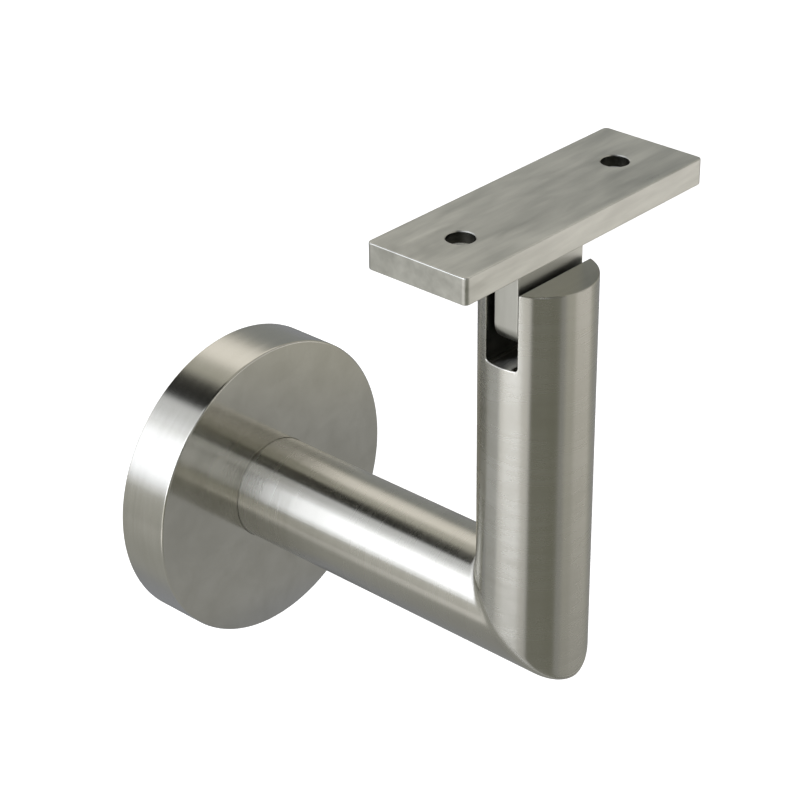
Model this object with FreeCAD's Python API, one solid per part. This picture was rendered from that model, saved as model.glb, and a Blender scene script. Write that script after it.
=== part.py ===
import FreeCAD, Part
import math
import os
from FreeCAD import Vector

# Handrail bracket in stainless steel. A round plate is screwed to the wall, and a solid round arm stands in it,
# welded and ground flush at the back. A post of the same bar is mitred onto the arm, and a flat saddle for the
# rail tips on a pin in the slotted top of the post. A turned cap slides along the arm and hides the plate with
# its screws.
# The origin is the middle of the base plate's back face, on the wall. X runs along the rail, Y into the wall
# and Z up. All sizes are in millimetres.

# Bar, arm and post
bar_d = 25.4            # round bar of the arm and the post
projection = 95.0       # wall to the middle of the post
post_rise = 84.5        # middle of the arm to the flat top of the post
post_edge = 0.3         # chamfer round the top of the post

# Cap over the base plate
cap_d = 75.0
cap_rim_t = 2.0
cap_face_t = 2.0
cap_wall_gap = 0.2      # wall to the back rim of the cap
cap_plate_gap = 2.5     # radial, cap to base plate
cap_collar_gap = 3.4    # collar of the cap to the front of the base plate
cap_front_edge = 0.5
cap_back_edge = 0.3
cap_bore_gap = 0.3      # radial, cap to arm
cap_bore_edge = 0.2

# Base plate on the wall
base_t = 6.0
base_edge = 0.5
base_bore_gap = 0.02    # radial, plate to the foot of the arm
wall_hole_d = 6.6       # for 6 mm countersunk screws
wall_hole_count = 3
wall_hole_start = 270.0  # degrees from X towards Z: the first hole is straight under the arm
wall_hole_margin = 8.0  # middle of a hole to the edge of the plate
wall_sink_d = 13.0
wall_sink_angle = 90.0

# Rubber ring in a groove in the cap's collar
ring_section = 2.0
ring_arm_gap = 0.05     # radial, drawn just clear of the arm
ring_seat_gap = 0.05    # radial, ring to the bottom of the groove
ring_side_gap = 0.2     # each side of the ring in the groove
groove_front_wall = 1.2
groove_back_wall = 1.0
collar_t = 1.4          # steel outside the groove

# Slot in the post and the tongue in it
slot_w = 8.5
slot_corner_r = 1.0
slot_edge = 0.3         # chamfer along the slot's outer edges
side_gap = 1.0          # each side of the tongue
floor_gap = 0.66        # under the tongue's corners as they swing past
pivot_drop = 5.5        # top of the post down to the pivot
tongue_l = 21.3         # along the rail
tongue_drop = 8.3       # pivot down to the lower end of the tongue
tongue_corner_r = 5.0   # lower corners, rounded so that the tongue turns over the slot's floor
tongue_edge = 0.3
tongue_weld = 1.8       # hollow weld run under the saddle plate, each side of the tongue
tongue_weld_end = 1.5   # the run stops short of the tongue's ends

# Pivot pin, fitted from the wall side and blind at the front
pin_d = 5.0
pin_l = 20.0
pin_recess = 1.0        # outer end below the surface of the post
pin_end_gap = 0.4       # blind hole beyond the pin
pin_chamfer = 0.5
pin_press_gap = 0.01    # radial, pin to post
pin_run_gap = 0.05      # radial, pin to tongue

# Lock screw, an M4 socket set screw under the pin
lock_d = 4.0
lock_l = 8.0
lock_end_margin = 0.5   # between the screw and the tongue's lower end
lock_thread_gap = 0.05  # radial
lock_tip_gap = 0.1      # backed off from the tongue, so that the saddle turns
lock_tip_chamfer = 0.5
lock_rear_chamfer = 0.3
socket_sides = 6
socket_af = 2.0
socket_depth = 2.5

# Saddle plate
saddle_l = 77.0
saddle_w = 26.0
saddle_t = 6.0
saddle_clear = 10.5     # top of the post to the underside of the plate
saddle_edge = 0.4       # rounding of its edges
rail_hole_d = 6.2
rail_hole_pitch = 50.0
rail_sink_d = 13.0      # countersink at the underside
rail_sink_angle = 90.0

# Worked out from the sizes above
bar_r = bar_d / 2
post_y = -projection
base_r = cap_d / 2 - cap_rim_t - cap_plate_gap
wall_hole_circle_r = base_r - wall_hole_margin
cap_bore_r = bar_r + cap_bore_gap
collar_back = base_t + cap_collar_gap
groove_back = collar_back + groove_back_wall
groove_front = groove_back + ring_section + 2 * ring_side_gap
groove_r = bar_r + ring_arm_gap + ring_section + ring_seat_gap
ring_station = (groove_back + groove_front) / 2
cap_front = groove_front + groove_front_wall      # 14 mm from the wall
pivot_z = post_rise - pivot_drop
tongue_half = tongue_l / 2
tongue_end_z = pivot_z - tongue_drop
tongue_t = slot_w - 2 * side_gap
swing_r = tongue_corner_r + math.hypot(tongue_half - tongue_corner_r, tongue_drop - tongue_corner_r)
slot_floor_z = pivot_z - swing_r - floor_gap
lock_z = tongue_end_z + lock_end_margin + lock_d / 2
under_z = post_rise + saddle_clear
wall_side_y = post_y + bar_r          # surface of the post that faces the wall
over = bar_d                          # how far a cutter runs past what it cuts
near = 0.001                          # tolerance for finding edges

OUT = Vector(0, -1, 0)                # from the wall into the room
INTO_WALL = Vector(0, 1, 0)
UP = Vector(0, 0, 1)


def turned(outline, foot, direction):
    """Revolve a closed outline of (radius, distance from the foot) about the axis through the foot."""
    points = [Vector(radius, 0, station) for radius, station in outline]
    face = Part.Face(Part.makePolygon(points + points[:1]))
    solid = face.revolve(Vector(0, 0, 0), UP, 360)
    solid.Placement = FreeCAD.Placement(foot, FreeCAD.Rotation(UP, direction))
    return solid


def countersunk_hole(hole_d, sink_d, sink_angle, mouth, inward):
    """Cutter for a countersunk through hole, from the middle of its wide mouth inwards."""
    hole_r = hole_d / 2
    sink_r = sink_d / 2
    sink_depth = (sink_r - hole_r) / math.tan(math.radians(sink_angle / 2))
    through = sink_depth + over
    return turned([(0, 0), (sink_r, 0), (hole_r, sink_depth), (hole_r, through), (0, through)], mouth, inward)


def mitre_half(far_y, far_z):
    """Everything to one side of the mitre plane, named by the far corner of a large triangle."""
    reach = 2 * bar_r
    corners = [(-reach, -reach), (reach, reach), (far_y * reach, far_z * reach)]
    points = [Vector(-over, post_y + y, z) for y, z in corners]
    face = Part.Face(Part.makePolygon(points + points[:1]))
    return face.extrude(Vector(2 * over, 0, 0))


def base_plate():
    """Round plate with a bore for the foot of the arm and countersunk wall screw holes."""
    bore_r = bar_r + base_bore_gap
    plate = turned(
        [
            (bore_r, 0),
            (base_r - base_edge, 0),
            (base_r, base_edge),
            (base_r, base_t - base_edge),
            (base_r - base_edge, base_t),
            (bore_r, base_t),
        ],
        Vector(0, 0, 0),
        OUT,
    )
    for turn in range(wall_hole_count):
        angle = math.radians(wall_hole_start + 360 * turn / wall_hole_count)
        x = wall_hole_circle_r * math.cos(angle)
        z = wall_hole_circle_r * math.sin(angle)
        plate = plate.cut(
            countersunk_hole(wall_hole_d, wall_sink_d, wall_sink_angle, Vector(x, -base_t, z), INTO_WALL)
        )
    return plate


def cover_cap():
    """Turned cap: rim, front face and a collar on the arm with a groove for the rubber ring."""
    radius = cap_d / 2
    inside_r = radius - cap_rim_t
    inside_front = cap_front - cap_face_t
    collar_r = groove_r + collar_t
    return turned(
        [
            (cap_bore_r, collar_back),
            (collar_r, collar_back),
            (collar_r, inside_front),
            (inside_r, inside_front),
            (inside_r, cap_wall_gap),
            (radius - cap_back_edge, cap_wall_gap),
            (radius, cap_wall_gap + cap_back_edge),
            (radius, cap_front - cap_front_edge),
            (radius - cap_front_edge, cap_front),
            (cap_bore_r + cap_bore_edge, cap_front),
            (cap_bore_r, cap_front - cap_bore_edge),
            (cap_bore_r, groove_front),
            (groove_r, groove_front),
            (groove_r, groove_back),
            (cap_bore_r, groove_back),
        ],
        Vector(0, 0, 0),
        OUT,
    )


def cover_ring():
    section_r = ring_section / 2
    return Part.makeTorus(bar_r + ring_arm_gap + section_r, section_r, OUT * ring_station, OUT)


def arm():
    bar = turned(
        [(0, 0), (bar_r, 0), (bar_r, projection + bar_r), (0, projection + bar_r)],
        Vector(0, 0, 0),
        OUT,
    )
    return bar.cut(mitre_half(-1, 1))


def slot_cutter():
    """U-shaped channel along X with a flat floor and rounded corners."""
    half = slot_w / 2
    corner = min(slot_corner_r, half)
    bend = corner * math.sqrt(0.5)
    top = post_rise + over

    def at(y, z):
        return Vector(-over, post_y + y, z)

    def corner_arc(side):
        middle_y = side * (half - corner)
        middle_z = slot_floor_z + corner
        return Part.Arc(
            at(side * half, middle_z),
            at(middle_y + side * bend, middle_z - bend),
            at(middle_y, slot_floor_z),
        ).toShape()

    edges = [
        Part.makeLine(at(-half, top), at(-half, slot_floor_z + corner)),
        corner_arc(-1),
        Part.makeLine(at(corner - half, slot_floor_z), at(half - corner, slot_floor_z)),
        corner_arc(1),
        Part.makeLine(at(half, slot_floor_z + corner), at(half, top)),
        Part.makeLine(at(half, top), at(-half, top)),
    ]
    face = Part.Face(Part.Wire(Part.__sortEdges__(edges)))
    return face.extrude(Vector(2 * over, 0, 0))


def slot_rim_edges(solid):
    """Edges where the slot's walls and floor come out through the round of the post."""
    rim = []
    for edge in solid.Edges:
        mid = edge.valueAt((edge.FirstParameter + edge.LastParameter) / 2)
        from_axis = math.hypot(mid.x, mid.y - post_y)
        on_round = abs(from_axis - bar_r) < near
        in_slot = abs(mid.y - post_y) < slot_w / 2 + near and mid.z > slot_floor_z - near
        if on_round and in_slot and edge.BoundBox.ZMax < post_rise - post_edge + near:
            rim.append(edge)
    return rim


def post():
    bar = turned(
        [
            (0, -bar_r),
            (bar_r, -bar_r),
            (bar_r, post_rise - post_edge),
            (bar_r - post_edge, post_rise),
            (0, post_rise),
        ],
        Vector(0, post_y, 0),
        UP,
    )
    bar = bar.cut(mitre_half(1, -1)).cut(slot_cutter())
    bar = bar.makeChamfer(slot_edge, slot_rim_edges(bar))

    pin_hole = Part.makeCylinder(
        pin_d / 2 + pin_press_gap,
        pin_recess + pin_l + pin_end_gap + over,
        Vector(0, wall_side_y + over, pivot_z),
        OUT,
    )
    lock_hole = Part.makeCylinder(
        lock_d / 2 + lock_thread_gap,
        bar_r + over,
        Vector(0, wall_side_y + over, lock_z),
        OUT,
    )
    return bar.cut(pin_hole).cut(lock_hole)


def pivot_pin():
    radius = pin_d / 2
    return turned(
        [
            (0, 0),
            (radius - pin_chamfer, 0),
            (radius, pin_chamfer),
            (radius, pin_l - pin_chamfer),
            (radius - pin_chamfer, pin_l),
            (0, pin_l),
        ],
        Vector(0, wall_side_y - pin_recess, pivot_z),
        OUT,
    )


def lock_screw():
    """Set screw with a flat point towards the tongue and a hexagon socket towards the wall."""
    radius = lock_d / 2
    tip = Vector(0, post_y + tongue_t / 2 + lock_tip_gap, lock_z)
    screw = turned(
        [
            (0, 0),
            (radius - lock_tip_chamfer, 0),
            (radius, lock_tip_chamfer),
            (radius, lock_l - lock_rear_chamfer),
            (radius - lock_rear_chamfer, lock_l),
            (0, lock_l),
        ],
        tip,
        INTO_WALL,
    )
    corner_r = socket_af / 2 / math.cos(math.pi / socket_sides)
    floor = tip + INTO_WALL * (lock_l - socket_depth)
    corners = []
    for turn in range(socket_sides):
        angle = 2 * math.pi * turn / socket_sides
        corners.append(floor + Vector(corner_r * math.cos(angle), 0, corner_r * math.sin(angle)))
    socket = Part.Face(Part.makePolygon(corners + corners[:1])).extrude(INTO_WALL * (socket_depth + over))
    return screw.cut(socket)


def tongue_weld_run(side):
    """Hollow weld run along one side of the tongue, rooted in it."""
    hollow = tongue_weld * (1 - math.sqrt(0.5))
    start = Vector(tongue_weld_end - tongue_half, post_y + side * tongue_t / 2, under_z)
    root = start + Vector(0, -side * side_gap, 0)
    low_root = root + Vector(0, 0, -tongue_weld)
    on_tongue = start + Vector(0, 0, -tongue_weld)
    middle = start + Vector(0, side * hollow, -hollow)
    on_plate = start + Vector(0, side * tongue_weld, 0)
    outline = [
        Part.makeLine(root, low_root),
        Part.makeLine(low_root, on_tongue),
        Part.Arc(on_tongue, middle, on_plate).toShape(),
        Part.makeLine(on_plate, root),
    ]
    return Part.Face(Part.Wire(outline)).extrude(Vector(tongue_l - 2 * tongue_weld_end, 0, 0))


def saddle_tongue():
    """Flat tongue with rounded lower corners that swing clear of the slot, and its weld runs under the plate."""
    side_y = post_y - tongue_t / 2

    def at(x, z):
        return Vector(x, side_y, z)

    corner_x = tongue_half - tongue_corner_r
    corner_z = tongue_end_z + tongue_corner_r
    bend = tongue_corner_r * math.sqrt(0.5)

    def corner_arc(side):
        return Part.Arc(
            at(side * tongue_half, corner_z),
            at(side * (corner_x + bend), corner_z - bend),
            at(side * corner_x, tongue_end_z),
        ).toShape()

    outline = [
        Part.makeLine(at(-tongue_half, under_z), at(-tongue_half, corner_z)),
        corner_arc(-1),
        Part.makeLine(at(-corner_x, tongue_end_z), at(corner_x, tongue_end_z)),
        corner_arc(1),
        Part.makeLine(at(tongue_half, corner_z), at(tongue_half, under_z)),
        Part.makeLine(at(tongue_half, under_z), at(-tongue_half, under_z)),
    ]
    tongue = Part.Face(Part.Wire(Part.__sortEdges__(outline))).extrude(INTO_WALL * tongue_t)
    long_edges = []
    for edge in tongue.Edges:
        flat_across = edge.BoundBox.YLength < near
        if flat_across and edge.BoundBox.ZMin < under_z - near:
            long_edges.append(edge)
    tongue = tongue.makeChamfer(tongue_edge, long_edges)
    for side in (-1, 1):
        tongue = tongue.fuse(tongue_weld_run(side))
    bore = Part.makeCylinder(
        pin_d / 2 + pin_run_gap, tongue_t + 2 * over, Vector(0, side_y - over, pivot_z), INTO_WALL
    )
    return tongue.cut(bore).removeSplitter()


def saddle_plate():
    corner = Vector(-saddle_l / 2, post_y - saddle_w / 2, under_z)
    plate = Part.makeBox(saddle_l, saddle_w, saddle_t, corner)
    plate = plate.makeFillet(saddle_edge, plate.Edges)
    for side in (-1, 1):
        mouth = Vector(side * rail_hole_pitch / 2, post_y, under_z)
        plate = plate.cut(countersunk_hole(rail_hole_d, rail_sink_d, rail_sink_angle, mouth, UP))
    return plate


makers = [
    base_plate,
    cover_cap,
    cover_ring,
    arm,
    post,
    pivot_pin,
    lock_screw,
    saddle_tongue,
    saddle_plate,
]

os.makedirs("parts", exist_ok=True)
for make in makers:
    shape = make()
    shape.exportStep("parts/" + make.__name__ + ".step")
    print(make.__name__, len(shape.Solids), "solid", round(shape.Volume, 1), "mm3")
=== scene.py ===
import bpy
import bmesh
import math
from mathutils import Matrix, Vector


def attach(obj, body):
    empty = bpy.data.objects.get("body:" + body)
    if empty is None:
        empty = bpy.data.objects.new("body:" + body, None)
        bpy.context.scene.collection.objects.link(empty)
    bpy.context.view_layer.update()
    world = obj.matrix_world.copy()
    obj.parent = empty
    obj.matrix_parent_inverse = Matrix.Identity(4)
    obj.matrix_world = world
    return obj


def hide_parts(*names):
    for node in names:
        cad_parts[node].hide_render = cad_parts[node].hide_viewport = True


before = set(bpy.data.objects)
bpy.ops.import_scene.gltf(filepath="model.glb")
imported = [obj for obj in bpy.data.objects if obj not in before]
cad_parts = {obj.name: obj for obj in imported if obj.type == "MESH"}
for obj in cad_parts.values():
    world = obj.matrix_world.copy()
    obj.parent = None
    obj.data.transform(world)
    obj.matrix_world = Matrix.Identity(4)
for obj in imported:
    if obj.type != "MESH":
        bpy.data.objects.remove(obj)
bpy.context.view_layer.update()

mm = 0.001


# Small helpers for all the pieces

def newObject(name, bm):
    mesh = bpy.data.meshes.new(name)
    bmesh.ops.recalc_face_normals(bm, faces=bm.faces)
    bm.to_mesh(mesh)
    bm.free()
    thing = bpy.data.objects.new(name, mesh)
    bpy.context.scene.collection.objects.link(thing)
    return thing


def applyModifiers(thing):
    bpy.context.view_layer.update()
    graph = bpy.context.evaluated_depsgraph_get()
    baked = bpy.data.meshes.new_from_object(thing.evaluated_get(graph))
    thing.modifiers.clear()
    thing.data = baked
    return thing


def softShading(thing, sharpAngle):
    for face in thing.data.polygons:
        face.use_smooth = True
    thing.data.set_sharp_from_angle(angle=math.radians(sharpAngle))
    modifier = thing.modifiers.new("evenShading", "WEIGHTED_NORMAL")
    modifier.keep_sharp = True
    modifier.weight = 80    # the large faces lead
    return thing


def roundEdges(bm, edges, rounding, segments):
    bmesh.ops.bevel(
        bm, geom=edges, offset=rounding * mm, segments=segments, profile=0.5,
        affect="EDGES", clamp_overlap=False,
    )


def cutAway(thing, cutters):
    for cutter in cutters:
        modifier = thing.modifiers.new("cut", "BOOLEAN")
        modifier.operation = "DIFFERENCE"
        modifier.solver = "EXACT"
        modifier.object = cutter
    applyModifiers(thing)
    for cutter in cutters:
        bpy.data.objects.remove(cutter)
    return thing


def dress(thing, *finishes):
    thing.data.materials.clear()
    for finish in finishes:
        thing.data.materials.append(finish)


def joinRings(bm, low, high):
    for i in range(len(low)):
        j = (i + 1) % len(low)
        bm.faces.new((low[i], low[j], high[j], high[i]))


def roundedOutline(corners, steps):
    # corners are (radius, station, rounding), in mm, in order round the closed outline
    outline = []
    count = len(corners)
    for i in range(count):
        here = Vector(corners[i][:2])
        rounding = corners[i][2]
        if rounding <= 0:
            outline.append(here)
            continue
        before = (Vector(corners[i - 1][:2]) - here).normalized()
        after = (Vector(corners[(i + 1) % count][:2]) - here).normalized()
        half = before.angle(after) / 2
        setback = rounding / math.tan(half)
        middle = here + (before + after).normalized() * (rounding / math.sin(half))
        start = here + before * setback - middle
        end = here + after * setback - middle
        first = math.atan2(start.y, start.x)
        sweep = (math.atan2(end.y, end.x) - first + math.pi) % math.tau - math.pi
        for step in range(steps + 1):
            angle = first + sweep * step / steps
            outline.append(middle + Vector((math.cos(angle), math.sin(angle))) * rounding)
    return outline


def turnedPiece(name, outline, foot, direction, segments, closed=True):
    # turns a closed outline of (radius, station) about the axis that leaves the foot in that direction
    bm = bmesh.new()
    turn = Vector((0, 0, 1)).rotation_difference(direction).to_matrix()
    rings = []
    for radius, station in outline:
        if radius < 1e-6:
            rings.append([bm.verts.new(foot + turn @ Vector((0, 0, station * mm)))])
            continue
        ring = []
        for i in range(segments):
            angle = math.tau * i / segments
            point = Vector((radius * math.cos(angle), radius * math.sin(angle), station)) * mm
            ring.append(bm.verts.new(foot + turn @ point))
        rings.append(ring)
    pairs = list(zip(rings, rings[1:]))
    if closed:
        pairs.append((rings[-1], rings[0]))
    for low, high in pairs:
        if len(low) > 1 and len(high) > 1:
            joinRings(bm, low, high)
        elif len(low) > 1:
            for i in range(segments):
                bm.faces.new((low[i], low[(i + 1) % segments], high[0]))
        elif len(high) > 1:
            for i in range(segments):
                bm.faces.new((low[0], high[(i + 1) % segments], high[i]))
    return newObject(name, bm)


outOfWall = Vector((0, -1, 0))
intoWall = Vector((0, 1, 0))
upward = Vector((0, 0, 1))

# Camera fitted to the photo's outlines, in metres
cameraPlace = Vector((-0.356274, -0.379086, 0.307053))
camera = bpy.data.objects.new("photoCamera", bpy.data.cameras.new("photoCamera"))
bpy.context.scene.collection.objects.link(camera)
rightAxis = Vector((0.668218, -0.743904, -0.00957))
upAxis = Vector((0.367233, 0.318628, 0.873851))
backAxis = Vector((-0.647012, -0.587438, 0.486099))
camera.matrix_world = Matrix((
    (rightAxis.x, upAxis.x, backAxis.x, cameraPlace.x),
    (rightAxis.y, upAxis.y, backAxis.y, cameraPlace.y),
    (rightAxis.z, upAxis.z, backAxis.z, cameraPlace.z),
    (0, 0, 0, 1),
))
camera.data.lens = 109.517
camera.data.sensor_width = 36
camera.data.clip_start = 0.02
camera.data.clip_end = 50
bpy.context.scene.camera = camera
bpy.context.scene.view_settings.view_transform = "Standard"
print("camera set")


# Finishes

def newMaterial(name):
    material = bpy.data.materials.new(name)
    material.use_nodes = True
    nodes = material.node_tree.nodes
    nodes.clear()
    output = nodes.new("ShaderNodeOutputMaterial")
    return material, nodes, material.node_tree.links, output


def stretchedNoise(nodes, links, space, scale, detail, rough, distortion=0.0):
    # noise on the piece's own coordinates, stretched by a scale for each axis
    mapping = nodes.new("ShaderNodeMapping")
    mapping.inputs["Scale"].default_value = scale
    links.new(space, mapping.inputs["Vector"])
    pattern = nodes.new("ShaderNodeTexNoise")
    pattern.inputs["Scale"].default_value = 1.0
    pattern.inputs["Detail"].default_value = detail
    pattern.inputs["Roughness"].default_value = rough
    pattern.inputs["Distortion"].default_value = distortion
    links.new(mapping.outputs["Vector"], pattern.inputs["Vector"])
    return pattern.outputs["Fac"]


def remap(nodes, links, value, low, high, start=0.3, end=0.7):
    spread = nodes.new("ShaderNodeMapRange")
    spread.inputs["From Min"].default_value = start
    spread.inputs["From Max"].default_value = end
    spread.inputs["To Min"].default_value = low
    spread.inputs["To Max"].default_value = high
    links.new(value, spread.inputs["Value"])
    return spread.outputs["Result"]


def twoTone(nodes, links, value, dark, light):
    mix = nodes.new("ShaderNodeMix")
    mix.data_type = "RGBA"
    mix.inputs[6].default_value = (*dark, 1)
    mix.inputs[7].default_value = (*light, 1)
    links.new(value, mix.inputs[0])
    return mix.outputs[2]


def mathNode(nodes, links, operation, first, second):
    node = nodes.new("ShaderNodeMath")
    node.operation = operation
    links.new(first, node.inputs[0])
    links.new(second, node.inputs[1])
    return node.outputs[0]


def addBump(nodes, links, height, shader, strength, depth):
    bump = nodes.new("ShaderNodeBump")
    bump.inputs["Strength"].default_value = strength
    bump.inputs["Distance"].default_value = depth * mm
    links.new(height, bump.inputs["Height"])
    links.new(bump.outputs["Normal"], shader.inputs["Normal"])


def mitredSpace(nodes, links, space):
    # on the post its own height takes the place of the arm's length, so lines run round both bars
    armEnds = 93.5 * mm     # height plus distance from the wall, which is 95 mm all over the mitre
    postStarts = 96.5 * mm
    split = nodes.new("ShaderNodeSeparateXYZ")
    links.new(space, split.inputs["Vector"])
    overMitre = mathNode(nodes, links, "SUBTRACT", split.outputs["Z"], split.outputs["Y"])
    onPost = remap(nodes, links, overMitre, 0.0, 1.0, armEnds, postStarts)
    turned = nodes.new("ShaderNodeCombineXYZ")
    links.new(split.outputs["X"], turned.inputs["X"])
    links.new(split.outputs["Z"], turned.inputs["Y"])
    links.new(split.outputs["Y"], turned.inputs["Z"])
    choose = nodes.new("ShaderNodeMix")
    choose.data_type = "VECTOR"
    links.new(onPost, choose.inputs[0])
    links.new(space, choose.inputs[4])
    links.new(turned.outputs["Vector"], choose.inputs[5])
    barAxis = nodes.new("ShaderNodeMix")
    barAxis.data_type = "VECTOR"
    barAxis.inputs[4].default_value = (0, 1, 0)
    barAxis.inputs[5].default_value = (0, 0, 1)
    links.new(onPost, barAxis.inputs[0])
    return choose.outputs[1], barAxis.outputs[1]


streakShare = 0.4    # part of a steel's change of tone that follows its streaks, the rest its clouds


def groundSteel(name, look):
    material, nodes, links, output = newMaterial(name)
    space = nodes.new("ShaderNodeTexCoord").outputs["Object"]
    barAxis = None
    if look["across"] == "mitre":
        space, barAxis = mitredSpace(nodes, links, space)
    lines = stretchedNoise(nodes, links, space, look["lineScale"], 2.0, 0.5)
    streaks = stretchedNoise(nodes, links, space, look["streakScale"], 3.0, 0.5, 0.4)
    clouds = stretchedNoise(nodes, links, space, look["cloudScale"], 3.0, 0.55, 0.6)

    steel = nodes.new("ShaderNodeBsdfPrincipled")
    steel.inputs["Metallic"].default_value = 1.0
    steel.inputs["Anisotropic"].default_value = look["stretch"]

    shade = mathNode(
        nodes, links, "ADD",
        remap(nodes, links, streaks, 0.0, streakShare),
        remap(nodes, links, clouds, 0.0, 1.0 - streakShare),
    )
    links.new(twoTone(nodes, links, shade, look["dark"], look["light"]), steel.inputs["Base Color"])

    spread = look["roughSpread"]
    rough = mathNode(
        nodes, links, "ADD",
        remap(nodes, links, streaks, -spread, spread),
        remap(nodes, links, clouds, look["rough"] - spread, look["rough"] + spread),
    )
    links.new(rough, steel.inputs["Roughness"])
    addBump(nodes, links, lines, steel, look["bump"], look["bumpDepth"])

    # the highlight stretches across the grinding lines
    across = nodes.new("ShaderNodeVectorTransform")
    across.vector_type = "VECTOR"
    across.convert_from = "OBJECT"
    across.convert_to = "WORLD"
    if look["across"] == "mitre":
        links.new(barAxis, across.inputs["Vector"])
    elif look["across"] == "radial":
        flat = nodes.new("ShaderNodeVectorMath")
        flat.operation = "MULTIPLY"
        flat.inputs[1].default_value = (1, 0, 1)
        links.new(space, flat.inputs[0])
        links.new(flat.outputs["Vector"], across.inputs["Vector"])
    else:
        across.inputs["Vector"].default_value = look["across"]
    links.new(across.outputs["Vector"], steel.inputs["Tangent"])
    links.new(steel.outputs["BSDF"], output.inputs["Surface"])
    return material


# Each look: two tones, how often its lines, streaks and clouds come along x, y and z, its roughness and how
# much that changes, how far and which way the highlight stretches, and its bump, with the depth in mm
stemLook = {
    "dark": (0.56, 0.55, 0.49), "light": (0.64, 0.63, 0.57),
    "lineScale": (200, 9000, 200), "streakScale": (40, 500, 40), "cloudScale": (60, 60, 60),
    "rough": 0.27, "roughSpread": 0.015, "stretch": 1.0, "across": "mitre",
    "bump": 0.15, "bumpDepth": 0.004,
}
capRimLook = {
    "dark": (0.56, 0.55, 0.49), "light": (0.64, 0.63, 0.57),
    "lineScale": (200, 9000, 200), "streakScale": (40, 600, 40), "cloudScale": (60, 60, 60),
    "rough": 0.21, "roughSpread": 0.015, "stretch": 0.95, "across": (0, 1, 0),
    "bump": 0.15, "bumpDepth": 0.004,
}
capFaceLook = {
    "dark": (0.53, 0.52, 0.47), "light": (0.66, 0.65, 0.60),
    "lineScale": (900, 900, 900), "streakScale": (160, 160, 160), "cloudScale": (55, 55, 55),
    "rough": 0.13, "roughSpread": 0.01, "stretch": 0.3, "across": "radial",
    "bump": 0.05, "bumpDepth": 0.01,
}
saddleLook = {
    "dark": (0.52, 0.52, 0.475), "light": (0.77, 0.77, 0.71),
    "lineScale": (80, 4000, 4000), "streakScale": (70, 500, 500), "cloudScale": (40, 110, 110),
    "rough": 0.33, "roughSpread": 0.03, "stretch": 0.6, "across": (0, 1, 0.4),
    "bump": 0.06, "bumpDepth": 0.02,
}
tongueLook = {
    "dark": (0.60, 0.60, 0.55), "light": (0.70, 0.70, 0.65),
    "lineScale": (80, 4000, 80), "streakScale": (60, 500, 60), "cloudScale": (40, 60, 40),
    "rough": 0.33, "roughSpread": 0.02, "stretch": 0.4, "across": (0, 1, 0.4),
    "bump": 0.06, "bumpDepth": 0.02,
}
plateLook = {
    "dark": (0.52, 0.52, 0.49), "light": (0.60, 0.60, 0.57),
    "lineScale": (900, 900, 900), "streakScale": (80, 80, 80), "cloudScale": (50, 50, 50),
    "rough": 0.42, "roughSpread": 0.04, "stretch": 0.4, "across": "radial",
    "bump": 0.1, "bumpDepth": 0.02,
}
pinLook = {
    "dark": (0.55, 0.55, 0.53), "light": (0.63, 0.63, 0.61),
    "lineScale": (2000, 400, 2000), "streakScale": (300, 300, 300), "cloudScale": (200, 200, 200),
    "rough": 0.30, "roughSpread": 0.04, "stretch": 0.4, "across": (0, 1, 0),
    "bump": 0.1, "bumpDepth": 0.02,
}
screwLook = {
    "dark": (0.36, 0.36, 0.35), "light": (0.50, 0.50, 0.48),
    "lineScale": (1500, 1500, 1500), "streakScale": (500, 500, 500), "cloudScale": (300, 300, 300),
    "rough": 0.38, "roughSpread": 0.05, "stretch": 0.0, "across": (0, 1, 0),
    "bump": 0.15, "bumpDepth": 0.02,
}
# painted shade: near-black steel for the inside walls of the slot and the holes in the post, where shade
# falls
slotPaintedShadeLook = {
    "dark": (0.07, 0.07, 0.06), "light": (0.13, 0.13, 0.115),
    "lineScale": (300, 3000, 3000), "streakScale": (100, 700, 700), "cloudScale": (200, 200, 200),
    "rough": 0.45, "roughSpread": 0.05, "stretch": 0.3, "across": (0, 0, 1),
    "bump": 0.2, "bumpDepth": 0.02,
}
# painted shade: near-black steel for the walls of the holes in the saddle plate, where shade falls
holePaintedShadeLook = {
    "dark": (0.02, 0.02, 0.018), "light": (0.08, 0.08, 0.07),
    "lineScale": (400, 400, 3000), "streakScale": (300, 300, 900), "cloudScale": (300, 300, 300),
    "rough": 0.40, "roughSpread": 0.05, "stretch": 0.2, "across": (0, 0, 1),
    "bump": 0.2, "bumpDepth": 0.02,
}
stemSteel = groundSteel("stemSteel", stemLook)
capRimSteel = groundSteel("capRimSteel", capRimLook)
capFaceSteel = groundSteel("capFaceSteel", capFaceLook)
saddleSteel = groundSteel("saddleSteel", saddleLook)
tongueSteel = groundSteel("tongueSteel", tongueLook)
plateSteel = groundSteel("plateSteel", plateLook)
pinSteel = groundSteel("pinSteel", pinLook)
screwSteel = groundSteel("screwSteel", screwLook)
slotPaintedShade = groundSteel("slotPaintedShade", slotPaintedShadeLook)
holePaintedShade = groundSteel("holePaintedShade", holePaintedShadeLook)


def ringRubberFinish():
    material, nodes, links, output = newMaterial("ringRubber")
    space = nodes.new("ShaderNodeTexCoord").outputs["Object"]
    grain = stretchedNoise(nodes, links, space, (2500, 2500, 2500), 4.0, 0.6)
    bloom = stretchedNoise(nodes, links, space, (200, 200, 200), 2.0, 0.5)
    rubber = nodes.new("ShaderNodeBsdfPrincipled")
    tone = twoTone(nodes, links, bloom, (0.018, 0.018, 0.019), (0.05, 0.05, 0.052))
    links.new(tone, rubber.inputs["Base Color"])
    links.new(remap(nodes, links, grain, 0.5, 0.75), rubber.inputs["Roughness"])
    addBump(nodes, links, grain, rubber, 0.4, 0.03)
    links.new(rubber.outputs["BSDF"], output.inputs["Surface"])
    return material


ringRubber = ringRubberFinish()
print("finishes made")


# Stem: the arm and the post, mitred, welded and ground smooth

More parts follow.
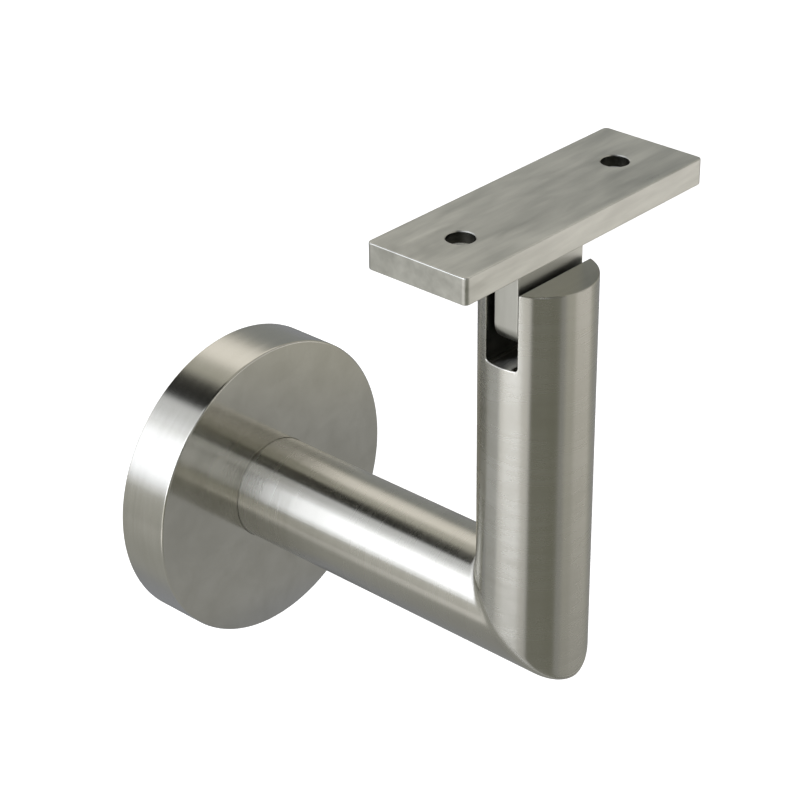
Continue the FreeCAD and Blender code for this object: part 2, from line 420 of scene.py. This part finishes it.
stem = {
    "barRadius": 12.7,
    "postY": -95.0,
    "postTop": 84.5,
    "mitreRounding": 2.4,    # ground weld at the sides of the mitre
    "insideShare": 0.2,      # share of it left in the inside corner
    "outsideShare": 0.4,     # share of it left in the outside corner
    "slotHalf": 4.25,
    "slotFloor": 66.8,
    "slotCorner": 0.8,
    "edge": 0.3,
    "ringBesideMitre": 0.5,  # plain rings of the mesh: next to the mitre, up the post, below the slot
    "ringOnPost": 30.0,
    "ringBelowSlot": 1.5,
    "holesFrom": 60.0,       # every hole in the post is higher than this
    "pinZ": 79.0,
    "pinHole": 2.51,
    "pinDepth": 21.4,
    "lockZ": 73.2,
    "lockHole": 2.05,
    "deburr": 0.35,
}


def slotRim(size):
    # half of the slot's end view, from the middle of its floor to the wall: (y, z)
    flat = size["slotHalf"] - size["slotCorner"]
    points = [(flat * i / 4, size["slotFloor"]) for i in range(4)]
    for step in range(7):
        bend = math.radians(15 * step)
        points.append((
            flat + size["slotCorner"] * math.sin(bend),
            size["slotFloor"] + size["slotCorner"] * (1 - math.cos(bend)),
        ))
    return points


def makeStem(size):
    radius = size["barRadius"]
    rim = slotRim(size)
    mirrored = [(-y, z) for y, z in reversed(rim[1:])] + rim
    wallAngle = math.asin(size["slotHalf"] / radius)
    steps = 72                                    # on each half of the post, from slot to slot
    columns = []                                  # x, y and the height of the slot's rim, where it has one
    for y, z in mirrored:
        columns.append((math.sqrt(radius ** 2 - y ** 2), y, z))
    for i in range(1, steps):
        angle = wallAngle + (math.pi - 2 * wallAngle) * i / steps
        columns.append((radius * math.cos(angle), radius * math.sin(angle), None))
    for y, z in reversed(mirrored):
        columns.append((-math.sqrt(radius ** 2 - y ** 2), y, z))
    for i in range(1, steps):
        angle = math.pi + wallAngle + (math.pi - 2 * wallAngle) * i / steps
        columns.append((radius * math.cos(angle), radius * math.sin(angle), None))

    bm = bmesh.new()
    bendSteps = 12
    shoulder = size["slotFloor"] + size["slotCorner"]
    stacks = []
    tops = []
    for x, y, rimZ in columns:
        least = size["insideShare"] if y > 0 else size["outsideShare"]
        rounding = size["mitreRounding"] * (least + (1 - least) * abs(x) / radius)
        column = size["postY"] + y
        beside = rounding + size["ringBesideMitre"]
        path = [(0, y), (size["postY"] * 0.5, y), (column + beside, y)]
        for step in range(bendSteps + 1):
            bend = math.radians(90 * step / bendSteps)
            path.append((column + rounding * (1 - math.sin(bend)), y + rounding * (1 - math.cos(bend))))
        path += [
            (column, y + beside), (column, size["ringOnPost"]),
            (column, size["slotFloor"] - size["ringBelowSlot"]),
        ]
        stack = [bm.verts.new(Vector((x, along, z)) * mm) for along, z in path]
        onRim = rimZ is not None
        stack.append(bm.verts.new(Vector((x, column, rimZ if onRim else shoulder)) * mm))
        top = None
        if not onRim or abs(abs(y) - size["slotHalf"]) < 1e-6:
            top = bm.verts.new(Vector((x, column, size["postTop"])) * mm)
        stacks.append(stack)
        tops.append(top)

    count = len(columns)
    for i in range(count):
        j = (i + 1) % count
        for low in range(len(stacks[i]) - 1):
            bm.faces.new((stacks[i][low], stacks[j][low], stacks[j][low + 1], stacks[i][low + 1]))
        if tops[i] and tops[j]:
            bm.faces.new((stacks[i][-1], stacks[j][-1], tops[j], tops[i]))
    bm.faces.new([stack[0] for stack in stacks])  # foot of the arm, flush with the wall

    # inside of the slot, ruled along the rail from the right rim to the left one
    wide = len(mirrored)
    leftEnd = 2 * wide + steps - 2
    for i in range(wide - 1):
        j = leftEnd - i
        bm.faces.new((stacks[i][-1], stacks[i + 1][-1], stacks[j - 1][-1], stacks[j][-1]))
    for i in (0, wide - 1):
        j = leftEnd - i
        bm.faces.new((stacks[i][-1], tops[i], tops[j], stacks[j][-1]))
    bm.faces.new(tops[wide - 1:wide + steps])     # the sawn top, behind the slot and before it
    bm.faces.new(tops[leftEnd:] + [tops[0]])
    bmesh.ops.recalc_face_normals(bm, faces=bm.faces)

    rimVerts = {stack[-1] for stack, column in zip(stacks, columns) if column[2] is not None}
    topVerts = {top for top in tops if top}
    acrossBar = radius * 0.3 * mm                 # the slot's own ruled edges are longer than this
    crisp = []
    for edge in bm.edges:
        ends = set(edge.verts)
        if ends <= topVerts:
            crisp.append(edge)
        elif ends <= rimVerts and abs(edge.verts[0].co.x - edge.verts[1].co.x) < acrossBar:
            crisp.append(edge)
        elif len(ends & rimVerts) == 1 and len(ends & topVerts) == 1:
            crisp.append(edge)
    roundEdges(bm, crisp, size["edge"], 3)
    piece = newObject("stem", bm)

    wallSide = Vector((0, (size["postY"] + radius) * mm, 0))
    beyond = 3                                    # the cutters start this far outside the bar
    cutters = []
    for name, hole, height, depth in (
        ("pinCutter", size["pinHole"], size["pinZ"], size["pinDepth"]),
        ("lockCutter", size["lockHole"], size["lockZ"], radius),
    ):
        outline = [
            (0, -beyond), (hole + size["deburr"] + beyond, -beyond),
            (hole, size["deburr"]), (hole, depth), (0, depth),
        ]
        foot = wallSide + Vector((0, 0, height * mm))
        cutters.append(turnedPiece(name, outline, foot, outOfWall, 64, closed=False))
    cutAway(piece, cutters)
    return softShading(piece, 35)


def stemFinish(face, size):
    # 0 for the bar, 1 for painted shade on the inside walls of the slot and in the holes, 2 for the sawn
    # top, 3 for the foot at the wall
    near = 0.1
    x, y, z = face.center / mm
    across = y - size["postY"]
    fromAxis = math.hypot(x, across)
    if face.normal.z > 0.99 and z > size["postTop"] - near:
        return 2
    if face.normal.y > 0.99 and y > -near:
        return 3
    if abs(across) < size["slotHalf"] + 0.02 and z > size["slotFloor"] - 0.02:
        onFloor = face.normal.z > 0.95 and z < size["slotFloor"] + near
        onInside = abs(face.normal.x) < 0.05 and fromAxis < size["barRadius"] - 0.5
        return 1 if onInside and not onFloor else 0
    inHole = z > size["holesFrom"] and fromAxis < size["barRadius"] - 0.8 and abs(face.normal.z) < 0.999
    return 1 if inHole else 0


stemPiece = makeStem(stem)
# the slot is milled, and its inside walls and the holes get painted shade; the top is sawn, and the foot is
# ground flush with the base plate
dress(stemPiece, stemSteel, slotPaintedShade, tongueSteel, plateSteel)
for face in stemPiece.data.polygons:
    face.material_index = stemFinish(face, stem)
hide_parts("arm", "post")
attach(stemPiece, "bracket")
print("stem made")


# Cap: turned shell that slides along the arm

cap = {
    "radius": 37.5,
    "rimThickness": 2.0,
    "faceThickness": 2.0,
    "front": 14.0,
    "back": 0.2,
    "bore": 12.78,
    "collarBack": 9.4,
    "grooveBack": 10.4,
    "grooveFront": 12.8,
    "grooveRadius": 14.8,
    "collarThickness": 1.4,
    "frontEdge": 0.5,
    "backEdge": 0.3,
    "boreEdge": 0.08,       # crisp, so that the gap round the arm stays a hair line
}


def makeCap(size):
    inside = size["radius"] - size["rimThickness"]
    insideFront = size["front"] - size["faceThickness"]
    collar = size["grooveRadius"] + size["collarThickness"]
    corners = [                                   # radius, distance from the wall and rounding
        (size["bore"], size["collarBack"], 0.2),
        (collar, size["collarBack"], 0.3),
        (collar, insideFront, 0.6),
        (inside, insideFront, 0.8),
        (inside, size["back"], 0.2),
        (size["radius"], size["back"], size["backEdge"]),
        (size["radius"], size["front"], size["frontEdge"]),
        (size["bore"], size["front"], size["boreEdge"]),
        (size["bore"], size["grooveFront"], 0.1),
        (size["grooveRadius"], size["grooveFront"], 0.2),
        (size["grooveRadius"], size["grooveBack"], 0.2),
        (size["bore"], size["grooveBack"], 0.1),
    ]
    outline = roundedOutline(corners, 5)
    piece = turnedPiece("coverCap", outline, Vector((0, 0, 0)), outOfWall, 256)
    dress(piece, capRimSteel, capFaceSteel)
    for face in piece.data.polygons:
        facesRoom = face.normal.y < -0.9 and -face.center.y > (size["front"] - 0.3) * mm
        face.material_index = 1 if facesRoom else 0
    return softShading(piece, 50)


capPiece = makeCap(cap)
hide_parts("cover_cap")
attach(capPiece, "cover")
print("cap made")


# Saddle plate: flat bar with two countersunk holes

saddle = {
    "length": 77.0,
    "width": 26.0,
    "thickness": 6.0,
    "underside": 95.0,
    "corner": 1.2,          # the four upright edges
    "edge": 0.3,
    "holePitch": 50.0,
    "holeRadius": 3.1,
    "sinkRadius": 6.5,
    "deburr": 0.2,
}


def makeSaddlePlate(size):
    bm = bmesh.new()
    bmesh.ops.create_cube(bm, size=1.0)
    middle = Vector((0, stem["postY"], size["underside"] + size["thickness"] / 2))
    for vert in bm.verts:
        vert.co = Vector((
            middle.x + vert.co.x * size["length"],
            middle.y + vert.co.y * size["width"],
            middle.z + vert.co.z * size["thickness"],
        )) * mm
    upright = [edge for edge in bm.edges if abs(edge.verts[0].co.z - edge.verts[1].co.z) > mm]
    roundEdges(bm, upright, size["corner"], 6)
    level = [edge for edge in bm.edges if abs(edge.verts[0].co.z - edge.verts[1].co.z) < 0.1 * mm]
    roundEdges(bm, level, size["edge"], 4)
    piece = newObject("saddlePlate", bm)
    cutters = []
    under, over = 4, 3                            # how far the cutters stand out of the plate
    depth = size["sinkRadius"] - size["holeRadius"]
    rim = size["thickness"] - size["deburr"]
    outline = [
        (0, -under), (size["sinkRadius"] + under, -under), (size["holeRadius"], depth),
        (size["holeRadius"], rim), (size["holeRadius"] + over, rim + over), (0, size["thickness"] + over),
    ]
    for side in (-1, 1):
        foot = Vector((side * size["holePitch"] / 2, stem["postY"], size["underside"])) * mm
        cutters.append(turnedPiece("sink", outline, foot, upward, 96, closed=False))
    cutAway(piece, cutters)
    return softShading(piece, 35)


saddlePiece = makeSaddlePlate(saddle)
dress(saddlePiece, saddleSteel, holePaintedShade)
# the walls of the holes get the painted shade
for face in saddlePiece.data.polygons:
    fromHole = math.hypot(
        abs(face.center.x / mm) - saddle["holePitch"] / 2, face.center.y / mm - stem["postY"],
    )
    if fromHole < saddle["holeRadius"] + 0.02 and abs(face.normal.z) < 0.1:
        face.material_index = 1
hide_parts("saddle_plate")
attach(saddlePiece, "saddle")
print("saddle plate made")


# Tongue: flat piece with rounded lower corners that swing over the slot's floor, welded under the plate

tongue = {
    "halfLength": 10.65,
    "thickness": 6.5,
    "top": 95.0,
    "pivot": 79.0,
    "drop": 8.3,          # pivot to the lower end
    "corner": 5.0,
    "edge": 0.35,
    "bore": 2.55,
    "weld": 1.8,
    "weldInset": 1.5,
    "weldBite": 0.3,      # how far the bead reaches into the tongue and the plate
    "weldHollow": 0.32,   # how far its face is drawn in
    "ripple": 1.1,        # pitch, height and lag of its ripples
    "rippleHeight": 0.07,
    "rippleLag": 0.35,
}


def makeTongue(size):
    bm = bmesh.new()
    reach = size["halfLength"]
    corner = size["corner"]
    cornerSteps = 24
    lowEnd = size["pivot"] - size["drop"]
    outline = [(-reach, size["top"])]
    for side, first in ((-1, math.pi), (1, 1.5 * math.pi)):
        for step in range(cornerSteps + 1):
            angle = first + math.pi / 2 * step / cornerSteps
            outline.append((
                side * (reach - corner) + corner * math.cos(angle),
                lowEnd + corner + corner * math.sin(angle),
            ))
    outline.append((reach, size["top"]))
    sides = []
    for side in (-1, 1):
        y = stem["postY"] + side * size["thickness"] / 2
        sides.append([bm.verts.new(Vector((x, y, z)) * mm) for x, z in outline])
    for ring in sides:
        bm.faces.new(ring)
    joinRings(bm, sides[0], sides[1])
    long = []
    for edge in bm.edges:
        a, b = (vert.co for vert in edge.verts)
        under = min(a.z, b.z) < (size["top"] - 0.01) * mm
        if abs(a.y - b.y) < 1e-6 and under:
            long.append(edge)
    bmesh.ops.recalc_face_normals(bm, faces=bm.faces)
    roundEdges(bm, long, size["edge"], 3)
    piece = newObject("saddleTongue", bm)
    foot = Vector((0, stem["postY"] - size["thickness"], size["pivot"])) * mm
    through = 2 * size["thickness"]
    outline = [(0, 0), (size["bore"], 0), (size["bore"], through), (0, through)]
    cutAway(piece, [turnedPiece("bore", outline, foot, intoWall, 64, closed=False)])
    return softShading(piece, 35)


def makeTongueWeld(size, side):
    # a laid bead with ripples, drawn as arcs between the tongue and the plate, thin at both ends
    bm = bmesh.new()
    start = size["weldInset"] - size["halfLength"]
    length = -2 * start
    face = stem["postY"] + side * size["thickness"] / 2
    rows = []
    slices = 120
    across = 8
    for i in range(slices + 1):
        share = i / slices
        x = start + length * share
        phase = (x - start) / size["ripple"]
        ripple = (phase - math.floor(phase)) ** 1.5
        taper = min(1.0, 4.5 * min(share, 1 - share) + 0.45)
        wander = 0.9 + 0.1 * math.sin(phase * 2.1)
        reach = size["weld"] * wander * taper
        row = []
        for j in range(across + 1):
            angle = math.pi / 2 * j / across
            belly = math.sin(2 * angle)           # 0 where it meets the steel, 1 in the middle
            bulge = 1.0 - size["weldHollow"] * belly
            swell = 0.05 * reach * (0.78 + 0.05 * ripple)
            crest = (swell + size["rippleHeight"] * ripple) * belly
            row.append(bm.verts.new(Vector((
                x + size["rippleLag"] * belly,
                face + side * (reach * math.sin(angle) * bulge + crest),
                size["top"] - reach * math.cos(angle) * bulge - crest,
            )) * mm))
        row.append(bm.verts.new(Vector((
            x, face - side * size["weldBite"], size["top"] + size["weldBite"],
        )) * mm))
        rows.append(row)
    for low, high in zip(rows, rows[1:]):
        joinRings(bm, low, high)
    bm.faces.new(rows[0])
    bm.faces.new(rows[-1])
    piece = newObject("tongueWeldBack" if side > 0 else "tongueWeldFront", bm)
    return softShading(piece, 60)


tonguePieces = [makeTongue(tongue), makeTongueWeld(tongue, -1), makeTongueWeld(tongue, 1)]
for piece in tonguePieces:
    dress(piece, tongueSteel)
    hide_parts("saddle_tongue")
    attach(piece, "saddle")
print("tongue and its welds made")


# Lock screw: M4 set screw with a hexagon socket

lock = {
    "radius": 2.0,
    "pitch": 0.7,
    "threadDepth": 0.4,
    "length": 8.0,
    "tipGap": 0.1,
    "tipChamfer": 0.5,
    "rearChamfer": 0.3,
    "socketFlat": 1.0,
    "socketEdge": 0.12,
    "socketDepth": 2.5,
    "drillRadius": 0.4,   # flat end of the hole drilled for the socket
    "drillDepth": 0.5,
}


def makeLockScrew(size):
    bm = bmesh.new()
    around = 48
    tip = Vector((0, stem["postY"] + tongue["thickness"] / 2 + size["tipGap"], stem["lockZ"]))
    rings = []

    def addRing(radiusAt, station):
        ring = []
        for i in range(around):
            angle = math.tau * i / around
            radius = radiusAt(angle)
            point = tip + Vector((radius * math.cos(angle), station, radius * math.sin(angle)))
            ring.append(bm.verts.new(point * mm))
        rings.append(ring)

    addRing(lambda angle: (size["radius"] - size["tipChamfer"]) * 0.5, 0.0)
    slices = int(size["length"] / size["pitch"] * 10)    # ten to each turn of the thread
    for step in range(slices + 1):
        station = size["length"] * step / slices

        def threadAt(angle, station=station):
            turn = station / size["pitch"] - angle / math.tau
            wave = abs(2 * (turn - math.floor(turn)) - 1)
            groove = size["threadDepth"] * min(1.0, max(0.0, 1.25 * wave - 0.12))    # flat crest and root
            limit = min(
                size["radius"] - size["tipChamfer"] + station,
                size["radius"] - size["rearChamfer"] + (size["length"] - station),
            )
            return min(size["radius"] - groove, limit)

        addRing(threadAt, station)

    def hexagonAt(angle):
        return size["socketFlat"] / math.cos((angle + math.pi / 6) % (math.pi / 3) - math.pi / 6)

    bottom = size["length"] - size["socketDepth"]
    addRing(lambda angle: hexagonAt(angle) + size["socketEdge"], size["length"])
    addRing(hexagonAt, size["length"] - size["socketEdge"])
    addRing(hexagonAt, bottom)
    addRing(lambda angle: size["drillRadius"], bottom - size["drillDepth"])
    for low, high in zip(rings, rings[1:]):
        joinRings(bm, low, high)
    bm.faces.new(rings[0])
    bm.faces.new(rings[-1])
    return softShading(newObject("lockScrew", bm), 30)


lockPiece = makeLockScrew(lock)
dress(lockPiece, screwSteel)
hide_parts("lock_screw")
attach(lockPiece, "bracket")
print("lock screw made")

# The base plate, the pivot pin and the rubber ring keep their solids
keptFinishes = {"base_plate": plateSteel, "pivot_pin": pinSteel, "cover_ring": ringRubber}
for nodeName, finish in keptFinishes.items():
    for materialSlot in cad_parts[nodeName].material_slots:
        materialSlot.link = "OBJECT"
        materialSlot.material = finish
print("kept solids finished")


# Floor, room and light

studio = {
    "floorZ": -0.10,
    "floorSize": 3.0,
    "paperTone": 0.9,
    "paperGlow": 0.55,      # light of the paper itself, for the camera and the steel only
    "worldLevel": 0.44,
    "lampTarget": (0, -0.05, 0.03),
}
lamps = {
    "softKey": {"azimuth": -135, "elevation": 45, "distance": 1.4, "size": 1.2, "power": 9.0},
    "softFill": {"azimuth": 40, "elevation": 50, "distance": 1.6, "size": 1.4, "power": 5.0},
}

# Panels and flags that only the steel sees: azimuths, elevations, distance in m, colour and soft edge.
# Azimuth 0 is straight out from the wall and 90 is along the rail to the right. Angles are in degrees.
cards = {
    "roomGrey": ((-180, 180), (-6, 90), 4.4, (0.49, 0.48, 0.43), 0),
    "rightGrey": ((0, 66), (-6, 50), 4.1, (0.46, 0.45, 0.44), 8),
    "frontFlag": ((-72, 2), (-6, 52), 3.9, (0.22, 0.22, 0.22), 6),
    "sideGlow": ((-104, -66), (-4, 50), 3.8, (0.9, 0.9, 0.92), 12),
    "rearGlow": ((-166, -127), (-5, 18), 3.7, (0.25, 0.25, 0.27), 7),
}
# Panels that arch over the arm: angles round it from straight up, angles towards the wall, distance, colour
# and both soft edges
archCards = {
    "archDark": ((50, 100), (2, 80), 3.5, (0.3, 0.31, 0.31), 5, 5),
    "archCream": ((16, 48), (-10, 70), 3.4, (1.15, 1.1, 1.05), 5, 5),
    "archGrey": ((-44, -14), (-50, 80), 3.3, (0.85, 0.87, 0.93), 4, 4),
    "archKey": ((-98, -32), (-14, 25), 3.2, (3.8, 3.9, 4.3), 22, 6),
    "archSoft": ((-98, -32), (18, 60), 3.25, (1.65, 1.7, 1.9), 22, 6),
    "archBlack": ((-24, 3), (-75, 80), 3.0, (0.02, 0.02, 0.02), 4, 4),
}
# The same on the floor: azimuths, distances in m from under the post, height, colour and soft edges
floorCards = {
    # floorGreyAndShade is a grey floor further out and painted shade under the object near the post;
    # floorShade is the object's painted shadow on the floor
    "floorGreyAndShade": ((-180, 180), (0.0, 2.8), 0.0010, (0.35, 0.35, 0.34), 0, 0),
    "floorRight": ((0, 78), (0.16, 2.8), 0.0015, (0.52, 0.51, 0.46), 8, 0.06),
    "floorWindow": ((16, 66), (0.40, 2.8), 0.0020, (1.2, 1.15, 1.15), 10, 0.12),
    "floorMiddle": ((-166, -110), (0.10, 2.8), 0.0022, (0.4, 0.4, 0.38), 8, 0.04),
    "floorLeft": ((-132, -60), (0.16, 0.40), 0.0025, (1.04, 1.02, 1.02), 8, 0.08),
    "floorSide": ((-126, -60), (0.34, 2.8), 0.0028, (0.95, 0.94, 0.92), 8, 0.08),
    "floorRear": ((96, 202), (0.02, 2.8), 0.0030, (0.31, 0.32, 0.35), 8, 0.03),
    "floorShade": ((122, 178), (0.08, 0.5), 0.0033, (0.1, 0.1, 0.1), 8, 0.06),
    "floorFront": ((-64, -6), (0.05, 2.8), 0.0035, (0.2, 0.2, 0.16), 4, 0.05),
}


def cardMaterial(name, colour):
    material, nodes, links, output = newMaterial(name)
    glow = nodes.new("ShaderNodeEmission")
    glow.inputs["Color"].default_value = (*colour, 1)
    clear = nodes.new("ShaderNodeBsdfTransparent")
    fade = nodes.new("ShaderNodeAttribute")
    fade.attribute_name = "fade"
    mix = nodes.new("ShaderNodeMixShader")
    links.new(fade.outputs["Fac"], mix.inputs[0])
    links.new(clear.outputs[0], mix.inputs[1])
    links.new(glow.outputs[0], mix.inputs[2])
    links.new(mix.outputs[0], output.inputs["Surface"])
    return material


def edgeShare(value, span, soft):
    # 1 inside the card, down to 0 at its edge
    if soft <= 0:
        return 1.0
    return max(0.0, min(1.0, min(value - span[0], span[1] - value) / soft))


def makeCard(name, spanA, spanB, placeAt, colour, softA, softB, cells=24):
    bm = bmesh.new()
    layer = bm.verts.layers.float.new("fade")
    grid = []
    for i in range(cells + 1):
        row = []
        for j in range(cells + 1):
            a = spanA[0] + (spanA[1] - spanA[0]) * i / cells
            b = spanB[0] + (spanB[1] - spanB[0]) * j / cells
            vert = bm.verts.new(placeAt(a, b))
            share = edgeShare(a, spanA, softA) * edgeShare(b, spanB, softB)
            vert[layer] = share * share * (3 - 2 * share)    # eased at both ends
            row.append(vert)
        grid.append(row)
    for i in range(cells):
        for j in range(cells):
            bm.faces.new((grid[i][j], grid[i + 1][j], grid[i + 1][j + 1], grid[i][j + 1]))
    card = newObject(name, bm)
    dress(card, cardMaterial(name + "Glow", colour))
    for face in card.data.polygons:
        face.use_smooth = True
    card.visible_camera = False
    card.visible_diffuse = False
    card.visible_shadow = False
    card.visible_volume_scatter = False


def skyPoint(radius):
    def place(azimuth, elevation):
        a, e = math.radians(azimuth), math.radians(elevation)
        return Vector((math.sin(a) * math.cos(e), -math.cos(a) * math.cos(e), math.sin(e))) * radius
    return place


def archPoint(radius):
    def place(overArm, toWall):
        a, b = math.radians(overArm), math.radians(toWall)
        return Vector((math.sin(a) * math.cos(b), math.sin(b), math.cos(a) * math.cos(b))) * radius
    return place


def floorPoint(height):
    def place(azimuth, distance):
        a = math.radians(azimuth)
        out = Vector((math.sin(a), -math.cos(a), 0)) * distance
        return out + Vector((0, stem["postY"] * mm, studio["floorZ"] + height))
    return place


for name, (azimuths, elevations, radius, colour, soft) in cards.items():
    makeCard(name, azimuths, elevations, skyPoint(radius), colour, soft, soft)
for name, (overArm, toWall, radius, colour, softA, softB) in archCards.items():
    makeCard(name, overArm, toWall, archPoint(radius), colour, softA, softB)
for name, (azimuths, distances, height, colour, softA, softB) in floorCards.items():
    makeCard(name, azimuths, distances, floorPoint(height), colour, softA, softB, 48)


def seenRay(nodes, links):
    # 1 for rays of the camera, off the steel and through glass, 0 for the light that falls on things
    path = nodes.new("ShaderNodeLightPath")
    seen = path.outputs["Is Camera Ray"]
    for kind in ("Is Glossy Ray", "Is Transmission Ray"):
        seen = mathNode(nodes, links, "MAXIMUM", seen, path.outputs[kind])
    return seen


def addFloor(size):
    bm = bmesh.new()
    bmesh.ops.create_grid(bm, x_segments=4, y_segments=4, size=size["floorSize"] / 2)
    floor = newObject("floor", bm)
    floor.location.z = size["floorZ"]
    material, nodes, links, output = newMaterial("floorPaper")
    paper = nodes.new("ShaderNodeBsdfDiffuse")
    tone = size["paperTone"]
    paper.inputs["Color"].default_value = (tone, tone, tone, 1)
    white = nodes.new("ShaderNodeEmission")
    white.inputs["Strength"].default_value = size["paperGlow"]
    none = nodes.new("ShaderNodeEmission")
    none.inputs["Strength"].default_value = 0.0
    glow = nodes.new("ShaderNodeMixShader")
    links.new(seenRay(nodes, links), glow.inputs[0])
    links.new(none.outputs[0], glow.inputs[1])
    links.new(white.outputs[0], glow.inputs[2])
    both = nodes.new("ShaderNodeAddShader")
    links.new(paper.outputs[0], both.inputs[0])
    links.new(glow.outputs[0], both.inputs[1])
    links.new(both.outputs[0], output.inputs["Surface"])
    dress(floor, material)


def addAir(size):
    # white where it is seen, and a softer light of its own
    world = bpy.data.worlds.new("studioAir")
    bpy.context.scene.world = world
    world.use_nodes = True
    nodes = world.node_tree.nodes
    links = world.node_tree.links
    nodes.clear()
    output = nodes.new("ShaderNodeOutputWorld")
    choose = nodes.new("ShaderNodeMixShader")
    links.new(seenRay(nodes, links), choose.inputs[0])
    for place, strength in ((1, size["worldLevel"]), (2, 1.0)):
        air = nodes.new("ShaderNodeBackground")
        air.inputs["Color"].default_value = (1, 1, 1, 1)
        air.inputs["Strength"].default_value = strength
        links.new(air.outputs[0], choose.inputs[place])
    links.new(choose.outputs[0], output.inputs["Surface"])


def addLamp(name, azimuth, elevation, distance, size, power):
    lamp = bpy.data.lights.new(name, "AREA")
    lamp.shape = "SQUARE"
    lamp.size = size
    lamp.energy = power
    holder = bpy.data.objects.new(name, lamp)
    bpy.context.scene.collection.objects.link(holder)
    target = Vector(studio["lampTarget"])
    holder.location = target + skyPoint(distance)(azimuth, elevation)
    holder.rotation_euler = (target - holder.location).to_track_quat("-Z", "Y").to_euler()
    holder.visible_camera = False
    holder.visible_glossy = False


addFloor(studio)
addAir(studio)
for name, lamp in lamps.items():
    addLamp(name, **lamp)
print("studio lit")
